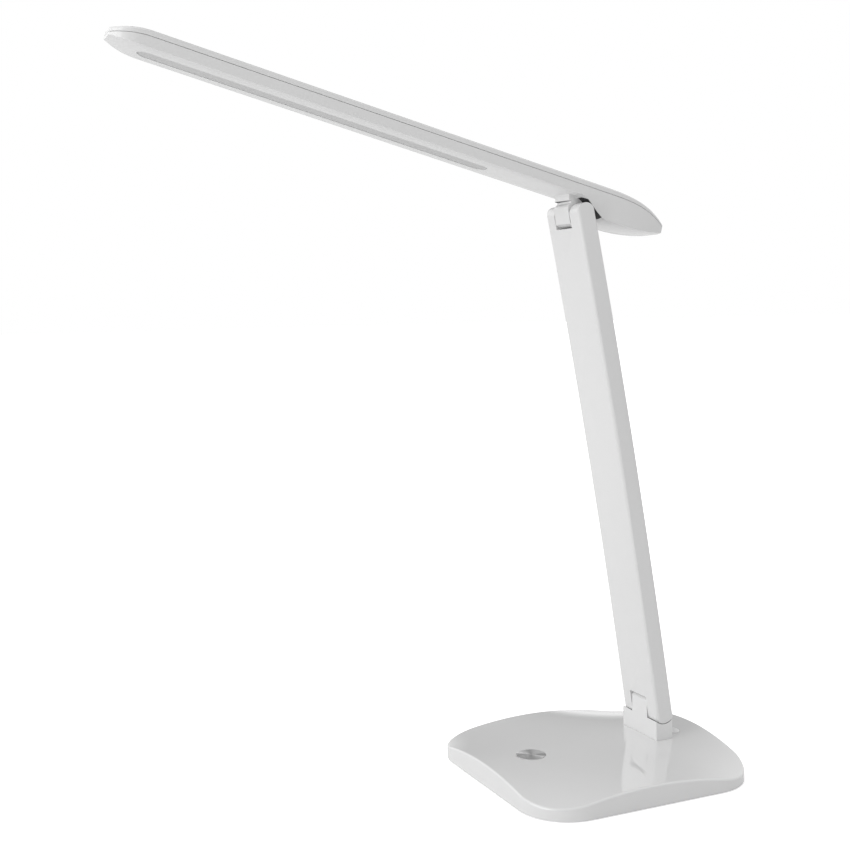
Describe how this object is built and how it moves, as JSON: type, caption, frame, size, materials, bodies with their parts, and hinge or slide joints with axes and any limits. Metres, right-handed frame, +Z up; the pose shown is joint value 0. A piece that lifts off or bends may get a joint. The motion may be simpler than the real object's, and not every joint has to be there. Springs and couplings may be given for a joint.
{
  "type": "folding led desk lamp",
  "caption": "White folding LED desk lamp: a flat bowed arm on a hinge block, a slim light bar that folds down along it, and a square base with a wavy top and a touch disc.",
  "frame": {"origin": "Middle of the resting face of the base, on the table plane z = 0.", "axes": "+Z up, -Y towards the front edge of the base, which the light bar reaches over, +X to the right as seen from the front."},
  "size_m": [0.18, 0.4281, 0.5173],
  "materials": {
    "white_plastic": "gloss",
    "soft_white": "satin",
    "grey_plastic": "matte",
    "black_plastic": "matte",
    "milky_plastic": "satin",
    "dark_rubber": "matte",
    "plain_steel": "satin",
    "bright_steel": "satin",
    "brushed_metal": "brushed",
    "contact_brass": "polished",
    "board_green": "satin",
    "aluminium_board": "satin",
    "led_yellow": "satin",
    "wire_cover": "matte"
  },
  "bodies": {
    "base": {"base_shell": "white_plastic", "bottom_plate": "grey_plastic", "non_slip_pad": "dark_rubber", "ballast_plate": "plain_steel", "base_screws": "bright_steel", "touch_disc": "brushed_metal", "touch_contact": "contact_brass", "board_insulator": "grey_plastic", "control_board": "board_green", "board_components": "black_plastic", "power_jack": "black_plastic", "hinge_block": "white_plastic", "block_screws": "bright_steel", "rest_bumpers": "soft_white", "base_wire": "wire_cover"},
    "arm": {"arm_shell": "white_plastic", "arm_rear_cover": "white_plastic", "arm_spine": "plain_steel", "spine_screws": "bright_steel", "arm_wire": "wire_cover", "lower_pin": "bright_steel", "lower_nut": "bright_steel", "lower_washers": "black_plastic", "lower_spring_washer": "bright_steel", "lower_pin_cap": "white_plastic", "upper_pin": "bright_steel", "upper_nut": "bright_steel", "upper_washers": "black_plastic", "upper_spring_washer": "bright_steel", "upper_pin_cap": "white_plastic"},
    "head": {"head_housing": "white_plastic", "head_cover": "white_plastic", "diffuser": "milky_plastic", "light_reflector": "white_plastic", "led_board": "aluminium_board", "led_chips": "led_yellow", "heat_spreader": "aluminium_board", "head_wire": "wire_cover"}
  },
  "joints": [
    {"name": "arm_tilt", "type": "hinge", "parent": "base", "child": "arm", "pos_m": [0, 0.0504, 0.0408], "axis": [1, 0, 0], "range_deg": [-20, 77]},
    {"name": "head_tilt", "type": "hinge", "parent": "arm", "child": "head", "pos_m": [0, -0.01261, 0.40945], "axis": [1, 0, 0], "range_deg": [-12, 114.6]}
  ]
}
